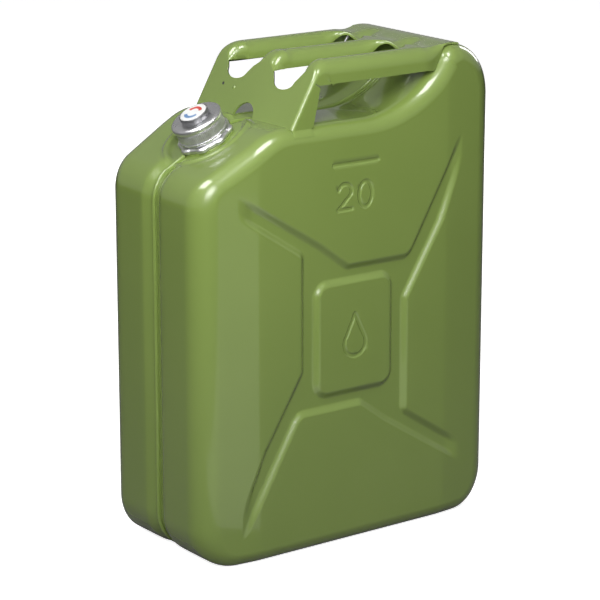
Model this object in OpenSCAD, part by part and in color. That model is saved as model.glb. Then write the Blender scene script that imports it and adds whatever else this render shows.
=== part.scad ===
// Steel jerry can, 20 litre class, with a three-bar handle and a metal screw cap.
// Frame: origin under the middle of the base, +X to the rear, +Z up, filler neck at -X.

/* [Body] */
// Length from front wall to rear wall
body_l = 345; // [340:1:350]
// Thickness over the two broad faces
body_t = 165; // [160:1:170]
// Half length of the flat middle of each broad face
flat_x = 109.6; // [100:0.2:115]
// Slope of the face margins towards the end walls, in degrees
margin_slope = 6.4; // [4:0.2:8]
// Radius between the broad faces and the upright end walls
edge_r = 22; // [18:1:23]
// Radius between the broad faces and the top and bottom
edge_top_r = 15; // [12:1:18]
// Sheet thickness of the pressed halves
wall = 1; // [0.8:0.1:1.2]
// Height of the level deck under the handle
deck_z = 409; // [405:1:413]
// Height of the air chamber at the rear
hump_z = 467; // [463:1:471]
// Slope of the front deck that carries the neck, in degrees
slope = 29; // [26:1:32]
// Radius of the two bottom corners
bottom_r = 42; // [36:1:48]

/* [Seam] */
// Depth of the channel that runs round the rim
channel_depth = 4; // [3:0.5:5]
// Half width of the channel
channel_half = 15; // [12:1:18]
// Width of the weld bead in the channel
bead_w = 2; // [1.5:0.1:3]
// Height of the weld bead above the channel floor
bead_h = 1.4; // [0.5:0.1:2]

/* [Embossing] */
// Depth of the cross pressed into each broad face
emboss_depth = 3.2; // [2:0.1:4]
// Half length of the middle pad
pad_x = 44; // [40:1:48]
// Half height of the middle pad
pad_z = 54; // [50:1:58]
// Height of the middle of the cross
cross_z = 205; // [200:1:210]

/* [Neck] */
// Distance of the neck axis ahead of the middle, where it meets the front deck
neck_x = 112.3; // [110:0.1:114]
// Inner radius of the neck
neck_bore_r = 18; // [16:0.5:18.5]
// Crest radius of the thread on the neck
thread_r = 21.5; // [21:0.1:21.6]
// Height of the mouth above the front deck
mouth_h = 12.5; // [11:0.5:12.5]
// Depth of the round seat pressed into the front deck
seat_depth = 4.5; // [3:0.5:5]
// Radius of the round seat
seat_r = 37; // [34:1:38]

/* [Cap] */
// Radius of the polished rim
rim_r = 24.8; // [24.4:0.1:25.5]
// Radius of the lower flange ring at its lobes
lobe_r = 27.6; // [26.5:0.1:28]
// Number of lobes
lobes = 8; // [6:1:10]
// Running gap between neck and cap
thread_gap = 0.3; // [0.2:0.05:0.4]

/* [Handle] */
// Height of the tops of the bars
bar_top = 467; // [465:1:472]
// Distance of the outer bars from the middle
bar_y = 64; // [62:0.5:65]
// Outer radius of each bar
bar_r = 13; // [12:0.5:13.5]
// Sheet thickness of the handle
handle_t = 2; // [1.5:0.1:2.5]
// Angle by which the front plate leans back from upright, in degrees
plate_lean = 29.7; // [28:0.1:32]
// Radius of the bend from front plate to bars
bend_r = 20; // [18:1:24]

/* [Hidden] */
$fn = 96;

paint = "#7f9450";
bright = "#c9cbcc";
dull = "#8d9092";
end_x = body_l / 2;
face_y = body_t / 2;
arc_n = 7;                       // segments in each arc of the outline
over = 1;                        // how far a cutting body runs past what it cuts

// The outline of the can, as arcs joined by their tangents. An inset moves it inwards.
rear_r = 52;
saddle_r = 110;
saddle_x = 15;
peak_r = 8;
knee_r = 60;
front_r = 36;
neck_foot_z = 396;               // height of the front deck at the neck axis
knee_x = -neck_x + (deck_z - neck_foot_z) / tan(slope);
rear_c = [end_x - rear_r, hump_z - rear_r];
saddle_c = [saddle_x, deck_z + saddle_r];
knee_c = [knee_x + knee_r * tan(slope / 2), deck_z - knee_r];
front_top_z = deck_z - (end_x + knee_x) * tan(slope);
front_c = [-end_x + front_r, front_top_z - front_r * tan((90 - slope) / 2)];

function run(a0, a1, n) = [for (i = [0:n]) a0 + (a1 - a0) * i / n];
function arc(c, r, a0, a1, n) = [for (a = run(a0, a1, n)) c + r * [cos(a), sin(a)]];
function tail(pts) = [for (i = [1:len(pts) - 1]) pts[i]];
function heading(v) = atan2(v[1], v[0]);
function edge(a) = edge_top_r + (edge_r - edge_top_r) * pow(cos(a), 2);

// Every point of the outline is [x, z, heading of its outward normal]. inset is a function of heading.
function round_in(c, r, a0, a1, n, inset) =
    [for (a = run(a0, a1, n)) [c[0] + (r - inset(a)) * cos(a), c[1] + (r - inset(a)) * sin(a), a]];
function saddle(a0, a1, n, inset) = [for (a = run(a0, a1, n))
    [saddle_c[0] - (saddle_r + inset(a)) * cos(a), saddle_c[1] - (saddle_r + inset(a)) * sin(a), a]];

// Small arc at the peak between air chamber and saddle, tangent to both
peak_a = 120;
function peak_rad(d) = max(peak_r - d, 0.6);
function peak_c(d) =
    let (e = saddle_c - rear_c, gap = norm(e), ra = rear_r - d - peak_rad(d),
        rb = saddle_r + d + peak_rad(d), along = (ra * ra - rb * rb + gap * gap) / (2 * gap),
        across = sqrt(ra * ra - along * along))
    rear_c + along * e / gap + across * [e[1], -e[0]] / gap;

function outline(inset) =
    let (d = inset(peak_a), p = peak_c(d), a_rear = heading(p - rear_c),
        a_saddle = heading(saddle_c - p), bend = 90 + asin((flat_x - saddle_x) / (saddle_r + d)),
        a_slope = 90 + slope, flat_d = inset(270))
    concat(
        round_in([-end_x + bottom_r, bottom_r], bottom_r, 180, 270, arc_n, inset),
        [[-flat_x, flat_d, 270], [flat_x, flat_d, 270]],
        round_in([end_x - bottom_r, bottom_r], bottom_r, 270, 360, arc_n, inset),
        round_in(rear_c, rear_r, 0, a_rear, arc_n, inset),
        [for (q = tail(arc(p, peak_rad(d), a_rear, a_saddle, 3))) [q[0], q[1], peak_a]],
        tail(saddle(a_saddle, bend, 2, inset)),
        tail(saddle(bend, 90, arc_n, inset)),
        round_in(knee_c, knee_r, 90, a_slope, 4, inset),
        [[-flat_x, deck_z - (flat_x + knee_x) * tan(slope) - inset(a_slope) / cos(slope), a_slope]],
        round_in(front_c, front_r, a_slope, 180, arc_n, inset));

// Places along the outline where the margins of the broad face begin
low_left = arc_n + 1;
low_right = low_left + 1;
top_right = low_right + 2 * arc_n + 2 + 3 + 2;
top_left = top_right + arc_n + 6;

function face_at(x) = face_y - max(0, abs(x) - flat_x) * tan(margin_slope);

// Rings of one half, from the seam to the broad face
function rim_ring(y, inset) = [for (p = outline(function(a) inset)) [p[0], y, p[1]]];
function edge_ring(skin, t) =
    [for (p = outline(function(a) skin + (edge(a) - skin) * (1 - cos(t))))
        [p[0], face_at(p[0]) - skin - (edge(p[2]) - skin) * (1 - sin(t)), p[1]]];
function half_rings(skin, from_y) = concat(
    [rim_ring(from_y, channel_depth + skin), rim_ring(4.5, channel_depth + skin),
        rim_ring(channel_half, skin)],
    [for (t = [0:15:90]) edge_ring(skin, t)]);
function flat_outline(inset) = [for (p = outline(function(a) inset)) [p[0], p[1]]];

// Solid between the seam plane and the skin of the +Y half
module half_solid(skin, from_y) {
    rings = half_rings(skin, from_y);
    m = len(rings);
    n = len(rings[0]);
    last = (m - 1) * n;
    sides = [for (j = [0:m - 2], i = [0:n - 1]) let (k = (i + 1) % n)
        each [[j * n + i, j * n + k, (j + 1) * n + i], [j * n + k, (j + 1) * n + k, (j + 1) * n + i]]];
    seam = [[for (i = [n - 1:-1:0]) i]];
    left = [[for (i = [0:low_left]) last + i, for (i = [top_left:n - 1]) last + i]];
    middle = [[last + low_left, last + low_right, for (i = [top_right:top_left]) last + i]];
    right = [[for (i = [low_right:top_right]) last + i]];
    polyhedron(points = [for (r = rings) each r], faces = concat(seam, sides, left, middle, right));
}

// Half of the cross; the other half is its turned copy
cross_half = [[-60, 85.5], [-141, 138.5], [-141, 154.5], [-39, 90], [-8, 67], [62, 67],
    [68.5, 73], [129, 177.5], [129, 157], [102, 95], [60, 27]];

module cross_plan(grow) {
    offset(delta = grow) polygon(concat(cross_half, [for (p = cross_half) -p]));
}

module pad_plan(grow) {
    pad_r = 12;
    for (sx = [-1, 1], sz = [-1, 1])
        translate([sx * (pad_x - pad_r), sz * (pad_z - pad_r)]) circle(r = pad_r + grow, $fn = 32);
    square([2 * (pad_x + grow), 2 * (pad_z - pad_r)], center = true);
    square([2 * (pad_x - pad_r), 2 * (pad_z + grow)], center = true);
}

// Body cut away for the pressed cross, from its floor outwards
module cross_cut(skin) {
    translate([0, face_y + over, cross_z]) rotate([90, 0, 0])
        linear_extrude(emboss_depth + skin + over) difference() {
            cross_plan(skin);
            pad_plan(-skin);
        }
}

// Neck frame: origin where the axis meets the front deck, z along the neck
neck_wall = 1.5;
neck_r = neck_bore_r + neck_wall;
neck_depth = 9;                  // how far the neck reaches into the can
neck_hole_r = neck_r + 1;        // hole in the pressed halves
flange_r = 26;                   // weld flange round the neck
flange_t = 1.2;
thread_pitch = 5.5;
thread_z = 2.4;                  // underside of the first thread ridge
thread_w = 2;                    // width of each thread ridge

module at_neck() translate([-neck_x, 0, neck_foot_z]) rotate([0, -slope, 0]) children();

module seat_cut(skin) at_neck()
    translate([0, 0, -seat_depth - skin]) cylinder(r = seat_r + skin, h = 4 * seat_depth);

module pressed_half() {
    gap = bead_w / 2;
    difference() {
        half_solid(0, -over);
        translate([-body_l, gap - body_t, -over]) cube([2 * body_l, body_t, 2 * body_l]);
        cross_cut(0);
        seat_cut(0);
        difference() {
            half_solid(wall, -2 * over);
            cross_cut(wall);
            seat_cut(wall);
        }
        at_neck() cylinder(r = neck_hole_r, h = 60, center = true);
    }
}

module shell_near() color(paint) mirror([0, 1, 0]) pressed_half();
module shell_far() color(paint) pressed_half();

module seam_weld() color(paint) difference() {
    translate([0, bead_w / 2, 0]) rotate([90, 0, 0]) linear_extrude(bead_w) difference() {
        polygon(flat_outline(channel_depth - bead_h));
        polygon(flat_outline(channel_depth + wall));
    }
    at_neck() cylinder(r = lobe_r + 0.6, h = 60, center = true);
}

module neck_flange() color(paint) at_neck() translate([0, 0, -seat_depth]) difference() {
    cylinder(r = flange_r, h = flange_t);
    translate([0, 0, -over]) cylinder(r = neck_r, h = flange_t + 2 * over);
}

module filler_neck() color(dull) at_neck() difference() {
    union() {
        translate([0, 0, -neck_depth]) cylinder(r = neck_r, h = mouth_h + neck_depth);
        for (turn = [0:1])
            translate([0, 0, thread_z + thread_pitch * turn]) cylinder(r = thread_r, h = thread_w);
    }
    translate([0, 0, -neck_depth - over]) cylinder(r = neck_bore_r, h = mouth_h + neck_depth + 2 * over);
}

breather_r = 4;
breather_z = 393;                // height of the straight run below the deck
breather_ends = [-66, 66];
breather_past = 2;               // how far the straight run passes the bends
breather_step = 0.3;             // how much slimmer the two end runs are
dip_l = 29;
dip = 24;                        // slope of the front end, down towards the neck
rise_l = 84;
rise = 34;                       // slope of the rear end, up into the air chamber

// The three runs as solid rods
module breather_rods(r, past_bend, past) {
    translate([breather_ends[0] - past_bend, 0, breather_z]) rotate([0, 90, 0])
        cylinder(r = r, h = breather_ends[1] - breather_ends[0] + 2 * past_bend);
    translate([breather_ends[0], 0, breather_z]) rotate([0, -90 - dip, 0])
        translate([0, 0, -1]) cylinder(r = r - breather_step, h = dip_l + 1 + past);
    translate([breather_ends[1], 0, breather_z]) rotate([0, 90 - rise, 0])
        translate([0, 0, -1]) cylinder(r = r - breather_step, h = rise_l + 1 + past);
}

module breather_tube() color(dull) difference() {
    breather_rods(breather_r, breather_past, 0);
    breather_rods(breather_r - 1, breather_past - 1, over);
}

clip_at = [-50, 5];              // front ends of the two clips
clip_l = 10;
clip_w = 8;
clip_wall = 1.2;
clip_top = deck_z - channel_depth - wall - 0.1;

module breather_bracket() color(dull) for (x = clip_at) translate([x, 0, breather_z])
    difference() {
        union() {
            rotate([0, 90, 0]) cylinder(r = breather_r + clip_wall, h = clip_l);
            translate([0, -clip_w / 2, 0]) cube([clip_l, clip_w, clip_top - breather_z]);
        }
        translate([-over, 0, 0]) rotate([0, 90, 0]) cylinder(r = breather_r, h = clip_l + 2 * over);
    }

// Handle. The plate frame has its origin at the foot, y across and z up along the sheet.
foot_x = -70.5;
foot_z = 408;
bend_c = [foot_x + (bend_r + (bar_top - bend_r - foot_z) * sin(plate_lean)) / cos(plate_lean),
    bar_top - bend_r];
plate_h = (bend_c[0] - foot_x) * sin(plate_lean) + (bend_c[1] - foot_z) * cos(plate_lean);
window_y = 36.5;                 // windows between the bars
window_r = 14;
window_z = 49;
arch_r = 15;                     // arch over the seam at the foot
foot_step = 3;                   // how far the middle of the foot stops short of the deck
foot_side = 16;                  // length of foot that reaches down at each side
plate_half = bar_y + bar_r + 1;
fold_drop = [4, 10];             // how far the side flange stops below the bend, at its root and edge
fold_w = [9, 22];                // width of the side flange, at its top and foot
fold_low = 13;                   // height of its widest place

module at_plate() translate([foot_x, 0, foot_z]) rotate([0, plate_lean, 0]) children();

module plate_plan() difference() {
    polygon([[-plate_half, -0.5], [-plate_half + foot_side, foot_step],
        [plate_half - foot_side, foot_step], [plate_half, -0.5],
        [plate_half, plate_h], [-plate_half, plate_h]]);
    circle(r = arch_r);
    for (s = [-1, 1]) {
        translate([s * window_y, window_z]) circle(r = window_r);
        polygon([[s * (window_y - window_r), window_z], [s * (window_y + window_r), window_z],
            [s * (bar_y - bar_r), plate_h + over], [s * bar_r, plate_h + over]]);
    }
}

module side_flange() rotate([90, 0, 0]) linear_extrude(handle_t)
    polygon([[0, 0], [0, plate_h - fold_drop[0]], [fold_w[0], plate_h - fold_drop[1]],
        [fold_w[1], fold_low]]);

module handle_front_plate() color(paint) at_plate() {
    rotate([90, 0, 90]) linear_extrude(handle_t) plate_plan();
    translate([handle_t, plate_half, 0]) side_flange();
    translate([handle_t, -plate_half + handle_t, 0]) side_flange();
}

bar_drop = 3;                    // straight sides below the half round of each bar
bar_end = 84;                    // where the bars pass into the rear plate
stub_end = 100;                  // where their section runs out in the plate

// Section of a bar, open below: crown up at the origin's height
module bar_plan() difference() {
    translate([0, -bar_r]) union() {
        circle(r = bar_r);
        translate([-bar_r, -bar_drop]) square([2 * bar_r, bar_drop]);
    }
    translate([0, -bar_r]) circle(r = bar_r - handle_t);
    translate([-bar_r + handle_t, -bar_r - bar_drop - over])
        square([2 * (bar_r - handle_t), bar_drop + over]);
    translate([-bar_r - over, -2 * bar_r - bar_drop - over])
        square([2 * (bar_r + over), bar_r + over]);
}

module bar_run(x0, x1)
    translate([x0, 0, bar_top]) rotate([90, 0, 90]) linear_extrude(x1 - x0) bar_plan();

module bar_bend() translate([bend_c[0], 0, bend_c[1]]) rotate([90, 0, 0])
    rotate([0, 0, 90]) rotate_extrude(angle = 90 - plate_lean) rotate([0, 0, -90])
        translate([0, bend_r]) bar_plan();

module grip_bar(y) translate([0, y, 0]) {
    bar_bend();
    bar_run(bend_c[0], bar_end);
}

module grip_bar_near() color(paint) grip_bar(-bar_y);
module grip_bar_centre() color(paint) grip_bar(0);
module grip_bar_far() color(paint) grip_bar(bar_y);

tail_gap = 0.3;                  // room between the rear plate and the air chamber
tail_half = 70;
tail_arc = [104, 84];            // headings between which the plate lies on the air chamber
tail_dip = 6.5;                  // how far the plate starts below the tops of the bars

module tail_plan() {
    low_r = rear_r + tail_gap;
    polygon(concat([[bar_end, bar_top - tail_dip - handle_t], [bar_end, bar_top - tail_dip]],
        arc(rear_c, low_r + handle_t, tail_arc[0], tail_arc[1], 6),
        arc(rear_c, low_r, tail_arc[1], tail_arc[0], 6)));
}

module handle_rear_plate() color(paint) {
    translate([0, tail_half, 0]) rotate([90, 0, 0]) linear_extrude(2 * tail_half) tail_plan();
    for (s = [-1, 0, 1]) translate([0, s * bar_y, 0]) bar_run(bar_end, stub_end);
}

// Cap, in the frame of the neck axis: heights are above the front deck
skirt_z = -3;                    // underside of the lobed ring
groove_z = 1.5;                  // top of the lobed ring
bead_z = 3.5;
band_z = 5.5;                    // knurled band, up to the rim
rim_z = 14.5;
top_z = 21.2;                    // top of the rim
crown_z = 26;
roof_z = 16.4;                   // underside of the cap's roof
barrel_r = 22.7;
band_r = 23.3;
bead_r = 24.2;
rim_round = 3.4;                 // rounding of the rim
cap_bore_r = thread_r + thread_gap;
crown_r = 14;
crown_sink = 0.6;                // how far the crown is let into the cap
label_r = 12.9;
label_t = 0.3;
lobe_round = 8;

// Seal under the cap: gasket on the mouth, disc on the gasket, rivet through the disc
disc_z = mouth_h + 2;
disc_t = 1.2;
seal_r = 20.8;
rivet_r = 2.5;
rivet_gap = 0.06;                // running fit that lets the cap turn on the seal
rivet_head_r = 5.5;
rivet_head_t = 1.3;
rivet_play = 0.2;
rivet_sink = 3;                  // how far the rivet is let into the cap's roof

module ring(r_in, r_out, z0, z1) translate([0, 0, z0]) difference() {
    cylinder(r = r_out, h = z1 - z0);
    translate([0, 0, -over]) cylinder(r = r_in, h = z1 - z0 + 2 * over);
}

module cap_shell() color(bright) at_neck() difference() {
    rotate_extrude() polygon(concat(
        [[0, groove_z], [barrel_r, groove_z], [barrel_r, bead_z], [bead_r, bead_z + 0.5],
            [bead_r, band_z - 0.5], [barrel_r, band_z], [barrel_r, rim_z]],
        arc([rim_r - rim_round, rim_z + rim_round], rim_round, -75, 90, 8),
        [[crown_r, top_z - crown_sink], [0, top_z - crown_sink]]));
    translate([0, 0, groove_z - over]) cylinder(r = cap_bore_r, h = roof_z - groove_z + over);
    translate([0, 0, roof_z - over]) cylinder(r = rivet_r, h = rivet_sink + over);
}

module cap_grip_band() color(dull) at_neck() ring(barrel_r, band_r, band_z + 0.2, rim_z - 0.2);

module cap_flange_ring() color(bright) at_neck() translate([0, 0, skirt_z])
    linear_extrude(groove_z - skirt_z) difference() {
        union() {
            circle(r = lobe_r - 2);
            for (i = [0:lobes - 1]) rotate(360 * i / lobes)
                translate([lobe_r - lobe_round, 0]) circle(r = lobe_round);
        }
        circle(r = cap_bore_r);
    }

module cap_crown() color(bright) at_neck() translate([0, 0, top_z - crown_sink])
    cylinder(r = crown_r, h = crown_z - top_z + crown_sink);

module cap_label() color("white") at_neck() translate([0, 0, crown_z])
    cylinder(r = label_r, h = label_t);

module cap_gasket() color("#222222") at_neck() ring(neck_bore_r - 1, seal_r, mouth_h, disc_z);
module seal_disc() color(dull) at_neck() ring(rivet_r + rivet_gap, seal_r, disc_z, disc_z + disc_t);
module seal_rivet() color(bright) at_neck() {
    translate([0, 0, disc_z - rivet_play - rivet_head_t]) cylinder(r = rivet_head_r, h = rivet_head_t);
    translate([0, 0, disc_z - rivet_play - 0.1])
        cylinder(r = rivet_r, h = roof_z + rivet_sink - disc_z + rivet_play + 0.1);
}

shell_near();
shell_far();
seam_weld();
neck_flange();
filler_neck();
breather_tube();
breather_bracket();
handle_front_plate();
grip_bar_near();
grip_bar_centre();
grip_bar_far();
handle_rear_plate();
cap_shell();
cap_grip_band();
cap_flange_ring();
cap_crown();
cap_label();
cap_gasket();
seal_disc();
seal_rivet();
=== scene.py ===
import math
import bmesh
import bpy
import numpy as np
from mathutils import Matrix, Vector, geometry


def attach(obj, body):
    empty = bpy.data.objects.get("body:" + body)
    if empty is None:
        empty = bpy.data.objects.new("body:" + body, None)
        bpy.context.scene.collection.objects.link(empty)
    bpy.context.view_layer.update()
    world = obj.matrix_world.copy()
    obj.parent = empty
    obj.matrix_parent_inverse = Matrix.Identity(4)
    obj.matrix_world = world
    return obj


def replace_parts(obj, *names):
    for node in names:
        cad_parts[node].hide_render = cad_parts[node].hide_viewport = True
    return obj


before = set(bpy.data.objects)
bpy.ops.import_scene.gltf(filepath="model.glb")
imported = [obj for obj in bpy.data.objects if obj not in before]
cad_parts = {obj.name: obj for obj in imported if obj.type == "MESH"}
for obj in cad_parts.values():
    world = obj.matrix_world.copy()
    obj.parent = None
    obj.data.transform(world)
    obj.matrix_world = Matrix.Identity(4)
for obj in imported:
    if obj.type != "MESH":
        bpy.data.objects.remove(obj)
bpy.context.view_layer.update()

# Steel jerry can, 20 litre class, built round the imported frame. Sizes of the
# can are in millimetres; lights and camera are placed in metres.
# Frame: origin under the middle of the base, +X to the rear, +Z up, filler neck at -X.

# ---------------------------------------------------------------- helpers
MM = 0.001
rad = math.radians


def smooth(edge0, edge1, x):
    """0 up to edge0, 1 from edge1 on, with an S-curve between."""
    t = np.clip((np.asarray(x, float) - edge0) / (edge1 - edge0), 0, 1)
    return t * t * (3 - 2 * t)


def ramp(x, r):
    """max(0, x) with its corner rounded over about r."""
    x = np.asarray(x, float)
    return (x + np.sqrt(x * x + r * r)) / 2


def unit(v):
    return v / np.maximum(np.linalg.norm(v, axis=-1, keepdims=True), 1e-12)


def mesh_object(name, V, F, N=None, flat=None, mats=(), face_mats=None, body="can"):
    """Mesh from points in mm. N gives a normal per point; faces listed as flat keep their own."""
    V = np.asarray(V, float)
    me = bpy.data.meshes.new(name)
    me.from_pydata((V * MM).tolist(), [], [list(map(int, f)) for f in F])
    me.update()
    me.polygons.foreach_set("use_smooth", [True] * len(me.polygons))
    for m in mats:
        me.materials.append(m)
    if face_mats is not None:
        me.polygons.foreach_set("material_index", list(map(int, face_mats)))
    if N is not None:
        N = unit(np.asarray(N, float))
        loops = np.empty(len(me.loops), int)
        me.loops.foreach_get("vertex_index", loops)
        LN = N[loops]
        if flat is not None and len(flat):
            for i in flat:
                p = me.polygons[i]
                LN[p.loop_start:p.loop_start + p.loop_total] = p.normal
        me.normals_split_custom_set(LN.tolist())
    ob = bpy.data.objects.new(name, me)
    bpy.context.scene.collection.objects.link(ob)
    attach(ob, body)
    return ob


def boundary_edges(F):
    seen = {}
    for f in F:
        k = len(f)
        for i in range(k):
            a, b = f[i], f[(i + 1) % k]
            key = (a, b) if a < b else (b, a)
            seen[key] = None if key in seen else (a, b)
    return [e for e in seen.values() if e is not None]


def ring_faces(m, n, loop=False):
    """Quads between m rings of n points; with loop, the last ring joins the first."""
    return [(j * n + i, j * n + (i + 1) % n, (j + 1) % m * n + (i + 1) % n, (j + 1) % m * n + i)
            for j in range(m if loop else m - 1) for i in range(n)]


def capped_faces(m, n):
    """Quads between m rings of n points, with both ends closed."""
    return ring_faces(m, n) + [tuple(range(n)), tuple((m - 1) * n + i for i in reversed(range(n)))]


def grid_faces(rows, base=0):
    """Quads of an open grid of points given as rows."""
    m, k = len(rows), len(rows[0])
    return [(base + j * k + i, base + j * k + i + 1, base + (j + 1) * k + i + 1, base + (j + 1) * k + i)
            for j in range(m - 1) for i in range(k - 1)]


def used_points(count, F):
    """Mask of the points that the faces use, and the faces renumbered to them."""
    used = np.zeros(count, bool)
    for f in F:
        used[list(f)] = True
    new = np.cumsum(used) - 1
    return used, [tuple(int(new[i]) for i in f) for f in F]


def thick(name, V, F, N, inner, mats):
    """Closed sheet: outer skin V, inner skin at the points given, rims between them."""
    n = len(V)
    rim = boundary_edges(F)
    faces = list(F) + [tuple(n + i for i in reversed(f)) for f in F]
    faces += [(b, a, n + a, n + b) for a, b in rim]
    flat = range(2 * len(F), len(faces))
    both = np.vstack([V, inner])
    norms = np.vstack([N, -N])
    return mesh_object(name, both, faces, norms, flat, mats)


def point_normals(V, F):
    """Area-weighted normals of points that share faces, by quads or triangles."""
    N = np.zeros_like(V)
    tri = np.array([t for f in F for t in ([f[:3]] if len(f) == 3 else [f[:3], (f[0], f[2], f[3])])])
    c = np.cross(V[tri[:, 1]] - V[tri[:, 0]], V[tri[:, 2]] - V[tri[:, 0]])
    for k in range(3):
        np.add.at(N, tri[:, k], c)
    return unit(N)


def outward(V, F, N):
    """Turns each face to agree with the normals of its points."""
    a = np.array([f[0] for f in F])
    b = np.array([f[1] for f in F])
    c = np.array([f[2] for f in F])
    d = np.array([f[-1] for f in F])
    g = np.cross(V[b] - V[a], V[c] - V[a]) + np.cross(V[c] - V[a], V[d] - V[a])
    back = np.einsum("ij,ij->i", g, N[a] + N[b] + N[c]) < 0
    return [f[::-1] if k else f for f, k in zip(F, back)]


def welded(V, F, tol=0.02):
    """Merges points that coincide and drops the faces that fall flat."""
    V = np.asarray(V, float)
    key = np.round(V / tol).astype(np.int64)
    _, first, back = np.unique(key, axis=0, return_index=True, return_inverse=True)
    back = back.reshape(-1)
    out = []
    for f in F:
        g = []
        for i in f:
            j = int(back[i])
            if j not in g:
                g.append(j)
        if len(g) >= 3:
            out.append(tuple(g))
    return V[first], out


def fix_and_shade(ob, angle):
    """Turns the faces outwards and shades smooth, with edges sharper than the angle kept crisp."""
    bm = bmesh.new()
    bm.from_mesh(ob.data)
    bmesh.ops.recalc_face_normals(bm, faces=bm.faces)
    bm.to_mesh(ob.data)
    bm.free()
    ob.data.polygons.foreach_set("use_smooth", [True] * len(ob.data.polygons))
    ob.data.set_sharp_from_angle(angle=rad(angle))


# ---------------------------------------------------------------- materials
def nodes_of(name):
    m = bpy.data.materials.new(name)
    m.use_nodes = True
    nt = m.node_tree
    return m, nt, nt.nodes["Principled BSDF"]


def noise(nt, scale, detail=3.0, rough=0.5):
    """Noise in the piece's own coordinates."""
    n = nt.nodes.new("ShaderNodeTexNoise")
    n.inputs["Scale"].default_value = scale
    n.inputs["Detail"].default_value = detail
    n.inputs["Roughness"].default_value = rough
    co = nt.nodes.new("ShaderNodeTexCoord")
    nt.links.new(co.outputs["Object"], n.inputs["Vector"])
    return n


def ramp_node(nt, src, stops):
    r = nt.nodes.new("ShaderNodeValToRGB")
    r.color_ramp.elements[0].position = stops[0][0]
    r.color_ramp.elements[0].color = (*stops[0][1], 1)
    r.color_ramp.elements[1].position = stops[-1][0]
    r.color_ramp.elements[1].color = (*stops[-1][1], 1)
    for p, c in stops[1:-1]:
        e = r.color_ramp.elements.new(p)
        e.color = (*c, 1)
    nt.links.new(src, r.inputs["Fac"])
    return r


def map_range(nt, src, lo, hi, a=0.3, b=0.7):
    """Maps the values a to b of a source to lo to hi."""
    m = nt.nodes.new("ShaderNodeMapRange")
    m.inputs["From Min"].default_value = a
    m.inputs["From Max"].default_value = b
    m.inputs["To Min"].default_value = lo
    m.inputs["To Max"].default_value = hi
    nt.links.new(src, m.inputs["Value"])
    return m


def bump(nt, bsdf, src, strength, distance):
    b = nt.nodes.new("ShaderNodeBump")
    b.inputs["Strength"].default_value = strength
    b.inputs["Distance"].default_value = distance
    nt.links.new(src, b.inputs["Height"])
    nt.links.new(b.outputs["Normal"], bsdf.inputs["Normal"])
    return b


def paint():
    """Glossy olive enamel: slight tone and sheen changes and a faint orange peel."""
    m, nt, b = nodes_of("green_enamel")
    tone = noise(nt, 7.0, 2.0)
    col = ramp_node(nt, tone.outputs["Fac"], [(0.0, (0.152, 0.219, 0.047)), (1.0, (0.182, 0.251, 0.062))])
    nt.links.new(col.outputs["Color"], b.inputs["Base Color"])
    haze = noise(nt, 22.0, 1.5)
    rough = map_range(nt, haze.outputs["Fac"], 0.22, 0.28, 0.0, 1.0)
    nt.links.new(rough.outputs["Result"], b.inputs["Roughness"])
    b.inputs["Coat Weight"].default_value = 0.9
    b.inputs["Coat Roughness"].default_value = 0.06
    b.inputs["Coat IOR"].default_value = 1.45
    peel = noise(nt, 150.0, 1.0)
    bump(nt, b, peel.outputs["Fac"], 0.03, 0.0002)
    return m


def metal(name, dark, light, rough_lo, rough_hi, scale, strength=0.12):
    m, nt, b = nodes_of(name)
    b.inputs["Metallic"].default_value = 1.0
    tone = noise(nt, scale, 4.0, 0.6)
    col = ramp_node(nt, tone.outputs["Fac"], [(0.3, dark), (0.7, light)])
    nt.links.new(col.outputs["Color"], b.inputs["Base Color"])
    haze = noise(nt, scale * 2.3, 3.0)
    rough = map_range(nt, haze.outputs["Fac"], rough_lo, rough_hi)
    nt.links.new(rough.outputs["Result"], b.inputs["Roughness"])
    bump(nt, b, haze.outputs["Fac"], strength, 0.00005)
    return m


def plain(name, lo, hi, rough):
    """Printed or moulded surface with a faint grain."""
    m, nt, b = nodes_of(name)
    tone = noise(nt, 90.0)
    col = ramp_node(nt, tone.outputs["Fac"], [(0.35, lo), (0.65, hi)])
    nt.links.new(col.outputs["Color"], b.inputs["Base Color"])
    haze = map_range(nt, tone.outputs["Fac"], rough - 0.05, rough + 0.08)
    nt.links.new(haze.outputs["Result"], b.inputs["Roughness"])
    bump(nt, b, tone.outputs["Fac"], 0.15, 0.0001)
    return m


GREEN = paint()
PLATED = metal("zinc_plate", (0.60, 0.61, 0.62), (0.74, 0.75, 0.76), 0.30, 0.45, 45.0)
POLISHED = metal("polished_plate", (0.70, 0.70, 0.71), (0.78, 0.78, 0.79), 0.24, 0.32, 30.0, strength=0.012)
# steel of the boss's side wall under the label, much darker than the cap's other steel: painted shade
CROWN_SHADE = metal("crown_steel_painted_shade", (0.24, 0.24, 0.25), (0.34, 0.34, 0.35), 0.28, 0.38, 40.0, strength=0.02)
KNURLED = metal("knurled_band", (0.46, 0.46, 0.47), (0.60, 0.60, 0.61), 0.40, 0.52, 200.0)
CAST = metal("satin_cast", (0.60, 0.60, 0.61), (0.72, 0.72, 0.73), 0.30, 0.42, 140.0)
WHITE = plain("label_white", (0.66, 0.66, 0.65), (0.72, 0.72, 0.71), 0.4)
RED = plain("label_red", (0.50, 0.045, 0.03), (0.60, 0.07, 0.05), 0.3)
BLUE = plain("label_blue", (0.10, 0.20, 0.38), (0.14, 0.26, 0.46), 0.3)
# black: the rubber of the gasket, and also the painted shade that stands in for the plate's small hole
RUBBER_AND_HOLE_SHADE = plain("black_rubber", (0.012, 0.012, 0.012), (0.03, 0.03, 0.03), 0.6)

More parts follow.
